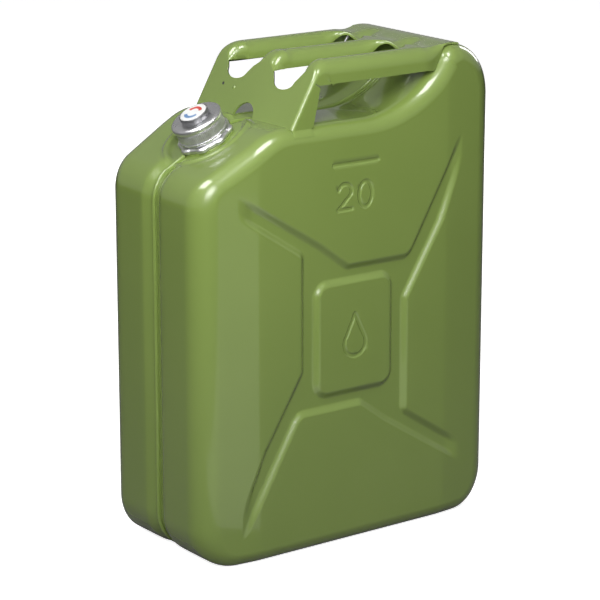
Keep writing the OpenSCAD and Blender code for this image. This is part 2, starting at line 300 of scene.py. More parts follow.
# ---------------------------------------------------------------- outline of the can
END_X, FACE_Y, BOTTOM_R = 172.5, 82.5, 42.0
DECK_Z, HUMP_Z, SLOPE = 409.0, 467.0, rad(29)
REAR_R, SADDLE_R, SADDLE_X, PEAK_R, KNEE_R, FRONT_R = 52.0, 110.0, 15.0, 22.0, 60.0, 36.0
NECK_X, NECK_Z = 112.3, 396.0
EDGE_R, EDGE_TOP_R = 22.0, 15.0
FLAT_X, MARGIN, CREASE = 109.6, math.tan(rad(6.4)), 2.0
KNEE_X = -NECK_X + (DECK_Z - NECK_Z) / math.tan(SLOPE)
REAR_C = np.array([END_X - REAR_R, HUMP_Z - REAR_R])
SADDLE_C = np.array([SADDLE_X, DECK_Z + SADDLE_R])
KNEE_C = np.array([KNEE_X + KNEE_R * math.tan(SLOPE / 2), DECK_Z - KNEE_R])
FRONT_TOP = DECK_Z - (END_X + KNEE_X) * math.tan(SLOPE)
FRONT_C = np.array([-END_X + FRONT_R, FRONT_TOP - FRONT_R * math.tan((math.pi / 2 - SLOPE) / 2)])


def edge_radius(a):
    """Radius between broad face and outline, at the outline's heading a."""
    return EDGE_TOP_R + (EDGE_R - EDGE_TOP_R) * np.cos(a) ** 2


def outline(d, c, cols):
    """Points (x, z) and headings of the outline moved inwards by d + c * edge radius.
    cols says how many points each stretch gets, from the front bottom corner on."""
    def inset(a):
        return d + c * edge_radius(a)

    def arc(centre, r, angles):
        k = r - inset(angles)
        return np.stack([centre[0] + k * np.cos(angles), centre[1] + k * np.sin(angles)], 1)

    # the peak arc touches the rear arc from inside and the saddle arc from outside
    peak_in = inset(rad(120))
    pr = max(PEAK_R - peak_in, 0.6)
    gap_v = SADDLE_C - REAR_C
    gap = np.linalg.norm(gap_v)
    ra, rb = REAR_R - peak_in - pr, SADDLE_R + peak_in + pr
    along = (ra * ra - rb * rb + gap * gap) / (2 * gap)
    across = math.sqrt(ra * ra - along * along)
    e = gap_v / gap
    pc = REAR_C + along * e + across * np.array([e[1], -e[0]])
    a_rear = math.atan2(*(pc - REAR_C)[::-1])
    a_sad = math.atan2(*(SADDLE_C - pc)[::-1])
    up, slope_a = rad(90), rad(90) + SLOPE
    low_front = ((-END_X + BOTTOM_R, BOTTOM_R), BOTTOM_R)
    low_rear = ((END_X - BOTTOM_R, BOTTOM_R), BOTTOM_R)
    parts = []
    for kind, n in cols:
        t = np.linspace(0, 1, n, endpoint=False)
        if kind == "front_bottom":
            a = rad(180) + t * rad(90)
            parts.append((arc(*low_front, a), a))
        elif kind == "rear_bottom":
            a = rad(270) + t * rad(90)
            parts.append((arc(*low_rear, a), a))
        elif kind == "rear_top":
            a = t * a_rear
            parts.append((arc(REAR_C, REAR_R, a), a))
        elif kind == "peak":
            a = a_rear + t * (a_sad - a_rear)
            parts.append((np.stack([pc[0] + pr * np.cos(a), pc[1] + pr * np.sin(a)], 1), a))
        elif kind == "saddle":
            a = a_sad + t * (up - a_sad)
            k = SADDLE_R + inset(a)
            points = [SADDLE_C[0] - k * np.cos(a), SADDLE_C[1] - k * np.sin(a)]
            parts.append((np.stack(points, 1), a))
        elif kind == "knee":
            a = up + t * SLOPE
            parts.append((arc(KNEE_C, KNEE_R, a), a))
        elif kind == "front_top":
            a = slope_a + t * (rad(180) - slope_a)
            parts.append((arc(FRONT_C, FRONT_R, a), a))
        else:
            (c0, r0), a, (c1, r1) = {
                "bottom": (low_front, rad(270), low_rear),
                "rear": (low_rear, 0.0, (REAR_C, REAR_R)),
                "deck": ((None, None), up, (KNEE_C, KNEE_R)),
                "slope": ((KNEE_C, KNEE_R), slope_a, (FRONT_C, FRONT_R)),
                "front": ((FRONT_C, FRONT_R), rad(180), low_front)}[kind]
            aa = np.array([a])
            if c0 is None:
                p0 = np.array([SADDLE_C[0], SADDLE_C[1] - SADDLE_R - inset(a)])
            else:
                p0 = arc(c0, r0, aa)[0]
            p1 = arc(c1, r1, aa)[0]
            parts.append((p0 + t[:, None] * (p1 - p0), np.full(n, a % (2 * math.pi))))
    P = np.vstack([p for p, _ in parts])
    return P, np.concatenate([a for _, a in parts])


COLS = [("front_bottom", 26), ("bottom", 22), ("rear_bottom", 26), ("rear", 26), ("rear_top", 34),
        ("peak", 12), ("saddle", 30), ("deck", 12), ("knee", 22), ("slope", 40), ("front_top", 26),
        ("front", 26)]
SEAM_Y = [1.0, 1.8, 2.6, 3.3, 4.0, 4.7, 5.5, 6.5, 8.0, 9.5, 11.0, 12.2, 13.3, 14.3, 15.2, 16.2, 17.4, 18.8]
DECK_Y = [20.3 + 1.45 * i for i in range(19)]
FILLET = [rad(7.5 * i) for i in range(13)]


CHANNEL_DEPTH, CHANNEL_IN, CHANNEL_OUT = 4.0, 4.5, 15.0


def channel(y):
    """Depth of the seam channel at the distance y from the middle plane."""
    rise = ramp(y - CHANNEL_IN, 1.1) - ramp(y - CHANNEL_OUT, 2.4)
    return CHANNEL_DEPTH * (1 - rise / (CHANNEL_OUT - CHANNEL_IN))


def face_at(x):
    """Distance of the plain broad face from the middle plane."""
    return FACE_Y - MARGIN * ramp(np.abs(x) - FLAT_X, CREASE)


def neck_frame(P):
    """Place along the slope, height above it and distance from the neck axis."""
    dx, dz = P[:, 0] + NECK_X, P[:, 2] - NECK_Z
    a = dx * math.cos(SLOPE) + dz * math.sin(SLOPE)
    h = -dx * math.sin(SLOPE) + dz * math.cos(SLOPE)
    return a, h, np.hypot(a, P[:, 1])


NECK_N = np.array([-math.sin(SLOPE), 0.0, math.cos(SLOPE)])
SEAT_DEPTH, SEAT_IN, SEAT_OUT = 4.5, 34.6, 38.2


def with_seat(P, heads):
    """Round seat of the neck with the raised bead about it."""
    a, h, rho = neck_frame(P)
    near = (h > -16) & (rho < 60)
    s = 1 - smooth(SEAT_IN, SEAT_OUT, rho)
    drop = s * ramp(h + SEAT_DEPTH, 0.6) * near
    out = np.stack([np.cos(heads), np.zeros_like(heads), np.sin(heads)], 1)
    lift = 1.15 * np.exp(-((rho - 40.6) / 1.7) ** 2) * near
    lift -= 0.35 * np.exp(-((rho - 45.2) / 1.8) ** 2) * near
    return P - drop[:, None] * NECK_N + lift[:, None] * out


def band_rings():
    """Rings of points from the seam to the broad face, and their distance from the neck axis."""
    rings = []
    for y in SEAM_Y + DECK_Y:
        P, A = outline(float(channel(y)), 0.0, COLS)
        rings.append((np.stack([P[:, 0], np.full(len(P), y), P[:, 1]], 1), A))
    for k in (1 / 3, 2 / 3):
        P, A = outline(0.0, 0.0, COLS)
        y1 = face_at(P[:, 0]) - edge_radius(A)
        y0 = DECK_Y[-1]
        rings.append((np.stack([P[:, 0], y0 + k * (y1 - y0), P[:, 1]], 1), A))
    for t in FILLET:
        P, A = outline(0.0, 1 - math.cos(t), COLS)
        y = face_at(P[:, 0]) - edge_radius(A) * (1 - math.sin(t))
        rings.append((np.stack([P[:, 0], y, P[:, 1]], 1), A))
    G = np.stack([with_seat(P, A) for P, A in rings])
    rho = np.stack([neck_frame(P)[2] + 1e3 * (neck_frame(P)[1] < -12) for P, A in rings])
    return G, rho


# ---------------------------------------------------------------- embossing of the broad faces
CROSS_Z, PAD_X, PAD_Z, PAD_R, DEPTH = 205.0, 44.0, 54.0, 13.0, 4.3
HALF = [(-60, 85.5), (-141, 138.5), (-141, 154.5), (-39, 90), (-8, 67), (62, 67), (68.5, 73), (129, 177.5),
        (129, 157), (102, 95), (60, 27)]
CROSS = np.array(HALF + [(-x, -z) for x, z in HALF], float) + np.array([0, CROSS_Z])
BEVEL, TIP_X = 7.6, (114, 133)
STROKE_DEPTH, STROKE_EDGE = 1.0, (0.9, 2.6)


def segment_distance(Q, A, B):
    """Distance from points to the segment from A to B."""
    d = B - A
    t = np.clip(((Q - A) @ d) / max(d @ d, 1e-9), 0, 1)
    return np.linalg.norm(Q - A - t[:, None] * d, axis=1)


def polygon_distance(Q, poly):
    """Distance to a closed polygon, negative inside."""
    best = np.full(len(Q), 1e9)
    inside = np.zeros(len(Q), bool)
    n = len(poly)
    for i in range(n):
        A, B = poly[i], poly[(i + 1) % n]
        best = np.minimum(best, segment_distance(Q, A, B))
        cross = ((A[1] > Q[:, 1]) != (B[1] > Q[:, 1]))
        with np.errstate(divide="ignore", invalid="ignore"):
            xi = (B[0] - A[0]) * (Q[:, 1] - A[1]) / (B[1] - A[1]) + A[0]
        inside ^= cross & (Q[:, 0] < xi)
    return np.where(inside, -best, best)


def rounded(poly, r, steps=5):
    """Polygon with its corners rounded to radius r where there is room."""
    out = []
    n = len(poly)
    for i in range(n):
        p0, p, p1 = poly[i - 1], poly[i], poly[(i + 1) % n]
        u, v = unit(p0 - p), unit(p1 - p)
        ang = math.acos(np.clip(u @ v, -1, 1))
        cut = min(r / math.tan(ang / 2), 0.45 * np.linalg.norm(p0 - p), 0.45 * np.linalg.norm(p1 - p))
        a, b = p + u * cut, p + v * cut
        for k in range(steps + 1):
            t = k / steps
            out.append((1 - t) ** 2 * a + 2 * t * (1 - t) * p + t * t * b)
    return np.array(out)


CROSS_R = rounded(CROSS, 9.0)


def pad_distance(Q):
    """Distance to the rounded pad in the middle of the cross, negative inside."""
    q = np.abs(Q - np.array([0, CROSS_Z])) - np.array([PAD_X - PAD_R, PAD_Z - PAD_R])
    return np.linalg.norm(np.maximum(q, 0), axis=1) + np.minimum(q.max(1), 0) - PAD_R


def arc_points(cx, cz, rx, rz, a0, a1, n):
    """Points of an elliptic arc from a0 to a1 degrees."""
    angles = [rad(a0 + (a1 - a0) * i / n) for i in range(n + 1)]
    return [(cx + rx * math.cos(a), cz + rz * math.sin(a)) for a in angles]


def strokes(flip):
    """Middle lines of the pressed marks: fill line, capacity figures and a plain drop."""
    two = arc_points(-12.5, 344.5, 7.5, 7.0, 165, -35, 10) + [(-20.0, 327.5), (-4.5, 327.5)]
    zero = arc_points(11.5, 339.5, 7.5, 12.0, 0, 360, 20)
    line = [(-25.5, 370.5), (25.5, 370.5)]
    drop = [(0, 226)] + arc_points(0, 197.5, 12.5, 12.5, 35, -215, 20) + [(0, 226)]
    sign = -1 if flip else 1
    return [np.array([(sign * x, z) for x, z in s], float) for s in (line, two, zero, drop)]


def stroke_distance(Q, lines):
    """Distance to the nearest mark, worked out only about each mark."""
    best = np.full(len(Q), 1e3)
    for s in lines:
        lo, hi = s.min(0) - 12, s.max(0) + 12
        near = np.all((Q > lo) & (Q < hi), axis=1)
        if near.any():
            q = Q[near]
            d = np.full(len(q), 1e3)
            for i in range(len(s) - 1):
                d = np.minimum(d, segment_distance(q, s[i], s[i + 1]))
            best[near] = np.minimum(best[near], d)
    return best


def face_height(Q, lines):
    """Distance of the embossed face from the middle plane; lines are the pressed marks or None."""
    y = face_at(Q[:, 0])
    cross = polygon_distance(Q, CROSS_R)
    s = 1 - smooth(-BEVEL / 2, BEVEL / 2, cross)
    p = 1 - smooth(-BEVEL / 2, BEVEL / 2, pad_distance(Q))
    tip = 1 - smooth(*TIP_X, np.abs(Q[:, 0]))
    y = y - s * (1 - p) * tip * ramp(y - (FACE_Y - DEPTH), 0.25)
    if lines is not None:
        y = y - STROKE_DEPTH * (1 - smooth(*STROKE_EDGE, stroke_distance(Q, lines)))
    return y


def face_points(ring, lines):
    """Points of the broad face: dense where it is embossed, sparse where it is plain."""
    def grid(step, off):
        x = np.arange(-160, 160, step) + off
        z = np.arange(4, 466, step) + off
        X, Z = np.meshgrid(x, z)
        X[1::2] += step / 2
        return np.stack([X.ravel(), Z.ravel()], 1)

    def edge(Q):
        return np.minimum(np.abs(polygon_distance(Q, CROSS_R)), np.abs(pad_distance(Q)))

    near, wide = 5.4, 10.0
    coarse, mid, fine, dense = grid(8.0, 0.31), grid(3.8, 0.17), grid(1.25, 0.07), grid(0.7, 0.03)
    keep = [coarse[(edge(coarse) > wide) & (stroke_distance(coarse, lines) > 7)]]
    d, mark = edge(mid), stroke_distance(mid, lines)
    keep.append(mid[(d > near) & ((d <= wide) | ((mark <= 7) & (mark > 3)))])
    keep.append(fine[edge(fine) <= near])
    keep.append(dense[(stroke_distance(dense, lines) <= 2.9) & (edge(dense) > near)])
    crease = np.array([(k * (FLAT_X + d), z) for k in (-1, 1) for d in (-8, -4.5, -2.2, 0, 2.2, 4.5, 8)
                       for z in np.arange(6.0, 464.0, 6.5)])
    keep.append(crease[edge(crease) > 5.2])
    P = np.vstack(keep)
    return P[polygon_distance(P, ring) < -1.6]


WALL, NECK_HOLE_R, THINNEST = 1.0, 22.0, 0.25


def band_faces(rho):
    """Quads between the rings of the band, left out where the neck passes."""
    m, n = rho.shape
    F = []
    for j in range(m - 1):
        for i in range(n):
            k = (i + 1) % n
            if max(rho[j, i], rho[j, k], rho[j + 1, i], rho[j + 1, k]) >= NECK_HOLE_R:
                F.append((j * n + i, (j + 1) * n + i, (j + 1) * n + k, j * n + k))
    return F


def band_normals(G):
    """Outward normals of the band from its own grid."""
    du = np.roll(G, -1, 1) - np.roll(G, 1, 1)
    dv = np.empty_like(G)
    dv[1:-1] = G[2:] - G[:-2]
    dv[0], dv[-1] = G[1] - G[0], G[-1] - G[-2]
    return unit(np.cross(dv, du)).reshape(-1, 3)


def rim_normals(ring):
    """Normals of the plain broad face at its rim."""
    past = np.abs(ring[:, 0]) - FLAT_X
    slope = MARGIN * np.sign(ring[:, 0]) * 0.5 * (1 + past / np.sqrt(past ** 2 + CREASE ** 2))
    return unit(np.stack([slope, np.ones(len(ring)), np.zeros(len(ring))], 1))


def broad_face(ring, lines):
    """Triangles inside the rim: points (x, z), faces, and for each point its rim point or -1."""
    n = len(ring)
    pts = [Vector((float(a), float(b))) for a, b in np.vstack([ring, face_points(ring, lines)])]
    rim = [(i, (i + 1) % n) for i in range(n)]
    points, _, faces, sources, _, _ = geometry.delaunay_2d_cdt(pts, rim, [], 1, 1e-5)
    Q = np.array([[v[0], v[1]] for v in points])
    on_rim = np.full(len(Q), -1)
    for k, source in enumerate(sources):
        hits = [i for i in source if i < n]
        if hits:
            on_rim[k] = hits[0]
    return Q, faces, on_rim


def face_skins(Q, lines):
    """Outer and inner skin of the embossed face, with the outer normals."""
    e = 0.12
    y = face_height(Q, lines)
    dx = (face_height(Q + [e, 0], lines) - face_height(Q - [e, 0], lines)) / (2 * e)
    dz = (face_height(Q + [0, e], lines) - face_height(Q - [0, e], lines)) / (2 * e)
    y_in = np.minimum(face_height(Q, None) - WALL, y - THINNEST)
    outer = np.stack([Q[:, 0], y, Q[:, 1]], 1)
    inner = np.stack([Q[:, 0], y_in, Q[:, 1]], 1)
    return outer, inner, unit(np.stack([-dx, np.ones(len(dx)), -dz], 1))


def shell(name, side, flip):
    """One pressed half: the band of rings round the rim, closed by the broad face."""
    G, rho = band_rings()
    m, n, _ = G.shape
    band = G.reshape(-1, 3)
    F = band_faces(rho)
    ring = G[-1][:, [0, 2]]
    lines = strokes(flip)
    Q, tris, on_rim = broad_face(ring, lines)
    fresh = np.where(on_rim < 0)[0]
    ident = on_rim + (m - 1) * n
    ident[fresh] = len(band) + np.arange(len(fresh))
    for tri in tris:
        a, b, c = (Q[i] for i in tri)
        turn = (b[0] - a[0]) * (c[1] - a[1]) - (b[1] - a[1]) * (c[0] - a[0])
        g = tuple(int(ident[i]) for i in tri)
        F.append(g if turn < 0 else g[::-1])
    outer, inner, face_normals = face_skins(Q[fresh], lines)
    NB = band_normals(G)
    V = np.vstack([band, outer])
    N = np.vstack([NB, face_normals])
    V_in = np.vstack([band - NB * WALL, inner])
    N[(m - 1) * n:m * n] = rim_normals(ring)
    # the seam edge stays in the middle plane
    V_in[:n, 1] = V[:n, 1]
    used, F = used_points(len(V), F)
    to_side = np.array([1, side, 1.0])
    V, N, V_in = V[used] * to_side, N[used] * to_side, V_in[used] * to_side
    if side < 0:
        F = [f[::-1] for f in F]
    return thick(name, V, outward(V, F, N), N, V_in, [GREEN])


near = shell("body_shell_near", -1, False)
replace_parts(near, "shell_near")
far = shell("body_shell_far", 1, True)
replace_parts(far, "shell_far")

# ---------------------------------------------------------------- weld bead in the channel
def seam_bead():
    """Weld bead: a closed profile swept round the outline, open where the neck stands."""
    half = [(0.75, 1.65), (1.35, 2.2), (1.7, 3.0), (1.75, 3.9), (1.0, 4.0), (1.0, 4.95)]
    prof = [(-y, d) for y, d in reversed(half)] + [(0.0, 1.45)] + half
    rings = []
    for y, d in prof:
        P, A = outline(d, 0.0, COLS)
        ring = np.stack([P[:, 0], np.full(len(P), y), P[:, 1]], 1)
        rings.append(with_seat(ring, A) if d > 3.5 else ring)
    G = np.stack(rings)
    m, n, _ = G.shape
    _, h, rho = neck_frame(G[len(half)])
    gap = np.where((rho < 28.4) & (h > -14))[0]
    order = np.arange(gap.max() + 1, gap.max() + 1 + n - len(gap)) % n
    G = G[:, order]
    k = G.shape[1]
    F = []
    for j in range(m):
        jj = (j + 1) % m
        for i in range(k - 1):
            F.append((j * k + i, j * k + i + 1, jj * k + i + 1, jj * k + i))
    F.append(tuple(j * k for j in range(m)))
    F.append(tuple(j * k + k - 1 for j in reversed(range(m))))
    ob = mesh_object("seam_bead", G.reshape(-1, 3), F, mats=[GREEN])
    fix_and_shade(ob, 50)
    return ob


bead = seam_bead()
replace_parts(bead, "seam_weld")

# ---------------------------------------------------------------- handle
LEAN, FOOT_X, FOOT_Z = rad(29.7), -70.5, 408.0
BAR_TOP, BEND_R, BAR_R, PLATE_HALF = 467.0, 20.0, 13.0, 78.0
SHEET = 1.8
# q is the length along the handle from the foot: plate up to Q_PLATE, bend up to Q_TOP, then the bars
BEND_Z = BAR_TOP - BEND_R
X0 = FOOT_X + (BEND_R + (BEND_Z - FOOT_Z) * math.sin(LEAN)) / math.cos(LEAN)
Q_PLATE = (X0 - FOOT_X) * math.sin(LEAN) + (BEND_Z - FOOT_Z) * math.cos(LEAN)
Q_TOP = Q_PLATE + BEND_R * (math.pi / 2 - LEAN)


def q_at(x):
    """Length along the handle at the place x of its bars."""
    return Q_TOP + x - X0


def crest(x):
    """Height of the handle's top along its length, down onto the air chamber."""
    over = REAR_C[1] + math.sqrt(max((REAR_R + 1.5) ** 2 - (x - REAR_C[0]) ** 2, 0))
    t = float(smooth(86, 118, x))
    return (1 - t) * BAR_TOP + t * over


def hump_surface(x, y):
    """Height of the can under the rear end of the handle."""
    s = np.clip(1 - (FACE_Y - abs(y)) / EDGE_TOP_R, 0, 1)
    drop = EDGE_TOP_R * (1 - math.sqrt(max(1 - s * s, 0)))
    sad = rear = 1e3
    if abs(x - SADDLE_X) < SADDLE_R + drop:
        sad = SADDLE_C[1] - math.sqrt((SADDLE_R + drop) ** 2 - (x - SADDLE_X) ** 2)
    if x > REAR_C[0] - 30:
        rear = REAR_C[1] + math.sqrt(max((REAR_R - drop) ** 2 - (x - REAR_C[0]) ** 2, 0))
    return min(sad, rear)


def path(q):
    """Point (x, z) and outward direction on the middle line of the handle's outer side."""
    if q <= Q_PLATE:
        foot = (FOOT_X + q * math.sin(LEAN), FOOT_Z + q * math.cos(LEAN))
        return foot, (-math.cos(LEAN), math.sin(LEAN))
    if q <= Q_TOP:
        a = LEAN + (q - Q_PLATE) / BEND_R
        bend = (X0 - BEND_R * math.cos(a), BEND_Z + BEND_R * math.sin(a))
        return bend, (-math.cos(a), math.sin(a))
    x = X0 + q - Q_TOP
    return (x, crest(x)), (0.0, 1.0)


def section(y_lo, y_hi, roll_lo, roll_hi, n_wall=5, n_arc=8, n_top=9):
    """Cross-section (y, h) of a strip. A roll is (radius, depth), or None for a plain edge."""
    r, d = roll_lo or (0.0, 0.0)
    r2, d2 = roll_hi or (0.0, 0.0)
    d, d2 = max(d, r), max(d2, r2)
    a, b = y_lo + r, y_hi - r2
    turn = np.linspace(0, math.pi / 2, n_arc + 1)
    pts = [(y_lo, -d + (d - r) * i / n_wall) for i in range(n_wall)]
    pts += [(y_lo + r * (1 - math.cos(t)), -r * (1 - math.sin(t))) for t in turn]
    pts += [(a + (b - a) * i / n_top, 0.0) for i in range(1, n_top)]
    pts += [(y_hi - r2 * (1 - math.cos(t)), -r2 * (1 - math.sin(t))) for t in turn[::-1]]
    pts += [(y_hi, -r2 - (d2 - r2) * (i + 1) / n_wall) for i in range(n_wall)]
    return pts


ARCH_R, SPLIT_Y, WIN_Q0, WIN_Q1 = 15.0, 37.0, 34.6, 49.5
UNDER_Z, SIDE_Z = 451.0, 445.5
SLOT_X, SLOT_Y, SLOT_R = 89.0, 32.0, 13.0
WIN_R, WIN_IN, WIN_OUT = 9.0, 21.5, 52.5
MID_EDGE = [(41, 22.4), (45, 19.6), (49.5, 16.4), (54, 14.4), (60, 13.2), (66, 13.0)]
SIDE_EDGE = [(41, 50), (45, 53.4), (49.5, 56.6)]
BAR_EDGE = [(49.5, 56.6), (55, 56.2), (66, 53.8), (84, 51.0)]


def curve(q, table):
    qs, vs = zip(*table)
    return float(np.interp(q, qs, vs))


def round_start(t):
    """Half width of a rounded end, from 0 at its tip to 1 where it is full."""
    return math.sqrt(max(1 - (1 - min(max(t, 0.0), 1.0)) ** 2, 0))


def window_half(q):
    """Half width of the middle strip and inner edge of the outer strips, over the windows."""
    c = round_start((q - WIN_Q0) / WIN_R)
    inner = SPLIT_Y - (SPLIT_Y - WIN_IN) * c
    outer = SPLIT_Y + (WIN_OUT - SPLIT_Y) * c
    if q > WIN_Q0 + 7:
        inner = min(inner, curve(q, MID_EDGE))
        outer = curve(q, BAR_EDGE) if q > WIN_Q1 else max(outer, curve(q, SIDE_EDGE))
    x = X0 + q - Q_TOP
    if q > Q_TOP and x > SLOT_X - SLOT_R:
        c = round_start((SLOT_X - x) / SLOT_R)
        inner = SLOT_Y - (SLOT_Y - MID_EDGE[-1][1]) * c
        outer = SLOT_Y + (BAR_EDGE[-1][1] - SLOT_Y) * c
    return inner, outer


INNER_DEPTH = 16.0
FOLD_R, FOLD_Q, FOLD_END_Q, FOLD_LOW_Z = 3.8, 47.0, 48.6, 406.9
SIDE_DEPTH = 21.5


def inner_roll(q):
    """Roll of the edges along the windows and between the bars."""
    (x, z), n = path(q)
    if q < WIN_Q1:
        return (0.35, 0.35)
    if q <= Q_TOP:
        d = max((z - UNDER_Z) / n[1], 0.4)
        return (min(BAR_R, 0.62 * d + 0.2), d)
    d = INNER_DEPTH
    if x > SLOT_X - 26:
        d -= 13.4 * float(smooth(SLOT_X - 26, SLOT_X - 2, x))
    return (min(BAR_R, 0.8 * d), d)


def side_half(x):
    """Half width of the handle over its bars and down onto the air chamber."""
    return PLATE_HALF - 1.0 - 6.5 * float(smooth(84, 120, x))


def outer_roll(q):
    """Roll of the handle's outer edges: side folds of the plate, then the outer sides of the bars."""
    (x, z), n = path(q)
    if q < FOLD_Q:
        low = (q * math.cos(LEAN) + FOOT_Z - FOLD_LOW_Z) / math.sin(LEAN)
        return (FOLD_R, max(min(25.0 - 14.0 * q / FOLD_Q, low), 0.4))
    if q < FOLD_END_Q:
        return (FOLD_R, 4.0)
    if q <= Q_TOP:
        r = FOLD_R + (BAR_R - FOLD_R) * float(smooth(FOLD_END_Q, Q_TOP, q))
        return (min(BAR_R, r), max((z - SIDE_Z) / n[1], 4.0))
    d = SIDE_DEPTH
    if x > 60:
        d = min(d, crest(x) - hump_surface(x, side_half(x)) - 0.25)
    d = max(d, 1.0)
    return (min(BAR_R - 9.5 * float(smooth(88, 116, x)), d), d)


def dips(x, y, h):
    """Creases that run on from the slots between the bars."""
    if x < SLOT_X - 14 or abs(y) > 62:
        return h
    fade = float(smooth(SLOT_X - 14, SLOT_X, x)) * (1 - float(smooth(SLOT_X + 2, SLOT_X + 32, x)))
    return h - 5.5 * fade * math.exp(-((abs(y) - SLOT_Y) / 8.5) ** 2)


def strip_rows(qs, part):
    """Rows of points of one of the handle's four strips at the lengths qs."""
    rows = []
    for q in qs:
        (x, z), n = path(q)
        inner, outer = window_half(q) if q > WIN_Q0 else (SPLIT_Y, SPLIT_Y)
        free = (q > WIN_Q0) and (x < SLOT_X)
        if x >= SLOT_X:
            inner = outer = SLOT_Y
        ir = inner_roll(q) if free else None
        orr = outer_roll(q)
        arch = math.sqrt(max(ARCH_R ** 2 - q * q, 0)) if q < ARCH_R else 0.0
        half = side_half(x) if q > Q_TOP else PLATE_HALF - float(smooth(Q_PLATE - 8, Q_TOP, q))
        if part == "near":
            pts = section(-half, -outer, orr, ir)
        elif part == "far":
            pts = section(outer, half, ir, orr)
        elif part == "mid_near":
            pts = section(-inner, -arch, ir, None)
        else:
            pts = section(arch, inner, None, ir)
        row = []
        for y, h in pts:
            h = dips(x, y, h) if q > Q_TOP else h
            row.append((x + n[0] * h, y, z + n[1] * h))
        rows.append(row)
    return rows


def sheet_patch(spans):
    """Welded points and faces of the handle's outer side, over each span of lengths."""
    V, F = [], []
    for qs in spans:
        for part in ("near", "mid_near", "mid_far", "far"):
            rows = strip_rows(qs, part)
            F += grid_faces(rows, len(V))
            V += [p for r in rows for p in r]
    return welded(V, F, 0.01)


def steps(a, b, d):
    """Values from a to b, about d apart."""
    n = max(int(round((b - a) / d)), 1)
    return list(np.linspace(a, b, n + 1))


def slot_steps(angles):
    return [q_at(SLOT_X - SLOT_R * (1 - math.sin(rad(t)))) for t in angles]


def arch_steps():
    return [ARCH_R * math.sin(rad(t)) for t in (0, 15, 30, 42, 54, 64, 72, 79, 84, 87.5, 90)]


def window_steps():
    return [WIN_Q0 + WIN_R * (1 - math.cos(rad(t))) for t in (0, 4, 8, 13, 19, 26, 34, 43, 53, 64, 77, 90)]


Q_ROWS_LOW = arch_steps() + steps(ARCH_R, WIN_Q0, 3)[1:]
Q_ROWS_WIN = window_steps() + steps(WIN_Q0 + WIN_R, 46.8, 1.05)[1:] + [47.2, 47.9, 48.6, 49.0]
Q_ROWS_WIN += steps(WIN_Q1, Q_PLATE, 0.75)
Q_ROWS_BEND = steps(Q_PLATE, Q_TOP, 1.0)
Q_ROWS_BAR = steps(Q_TOP, q_at(62.0), 4.0) + steps(q_at(62.0), q_at(76.0), 1.6)[1:]
Q_ROWS_BAR += slot_steps((10, 22, 34, 45, 55, 64))
Q_ROWS_REAR = slot_steps((64, 70, 76, 81, 85.5, 90))
Q_ROWS_REAR += steps(q_at(SLOT_X), q_at(131.0), 1.8)[1:]
Q_ROWS_UP = Q_ROWS_WIN + Q_ROWS_BEND[1:] + Q_ROWS_BAR[1:] + Q_ROWS_REAR[1:]
WV, WF = sheet_patch([Q_ROWS_LOW, Q_ROWS_UP])
WN = point_normals(WV, WF)
if WN[np.argmax(WV[:, 2])][2] < 0:
    WF = [f[::-1] for f in WF]
    WN = -WN


def handle_piece(name, keep):
    """The faces of the handle whose middle passes the test, as a closed sheet."""
    used, F = used_points(len(WV), [f for f in WF if keep(WV[list(f)].mean(0))])
    ob = thick(name, WV[used], F, WN[used], WV[used] - WN[used] * SHEET, [GREEN])
    return ob


def below_bend(p):
    """True on the plate's side of the line where plate and bars meet."""
    up = (p[0] - FOOT_X) * math.sin(LEAN) + (p[2] - FOOT_Z) * math.cos(LEAN)
    return up < Q_PLATE and p[0] < X0 - 6


def bar_between(lo, hi):
    """Test for the faces of one bar, which lies between two places across the can."""
    return lambda p: not below_bend(p) and p[0] < REAR_SPLIT and lo < p[1] < hi


REAR_SPLIT = X0 + Q_ROWS_REAR[0] - Q_TOP
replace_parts(handle_piece("handle_plate", below_bend), "handle_front_plate")
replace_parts(handle_piece("handle_bar_near", bar_between(-99, -34)), "grip_bar_near")
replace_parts(handle_piece("handle_bar_centre", bar_between(-34, 34)), "grip_bar_centre")
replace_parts(handle_piece("handle_bar_far", bar_between(34, 99)), "grip_bar_far")
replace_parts(handle_piece("handle_tail", lambda p: p[0] > REAR_SPLIT), "handle_rear_plate")

# ---------------------------------------------------------------- neck, cap, seal
NECK_T = np.array([math.cos(SLOPE), 0.0, math.sin(SLOPE)])
NECK_O = np.array([-NECK_X, 0.0, NECK_Z])


def on_neck(x, y, h):
    """Neck frame (x up the slope, y across, h along the neck) to the can's own."""
    x, y, h = np.ravel(x), np.ravel(y), np.ravel(h)
    return NECK_O + np.outer(x, NECK_T) + np.outer(y, [0, 1, 0]) + np.outer(h, NECK_N)


def lathe(name, profile, mats, n=144, shape=None, body="can", angle=32):
    """Closed ring turned from a profile of (r, h). shape(r, h, a) may change the radius."""
    a = np.arange(n) * 2 * math.pi / n
    V = []
    for r, h in profile:
        rr = np.full(n, float(r)) if shape is None else shape(r, h, a)
        V.append(on_neck(rr * np.cos(a), rr * np.sin(a), np.full(n, float(h))))
    F = ring_faces(len(profile), n, loop=profile[0][0] > 0)
    V, F = welded(np.vstack(V), F, 0.002)
    ob = mesh_object(name, V, F, mats=mats, body=body)
    fix_and_shade(ob, angle)
    return ob


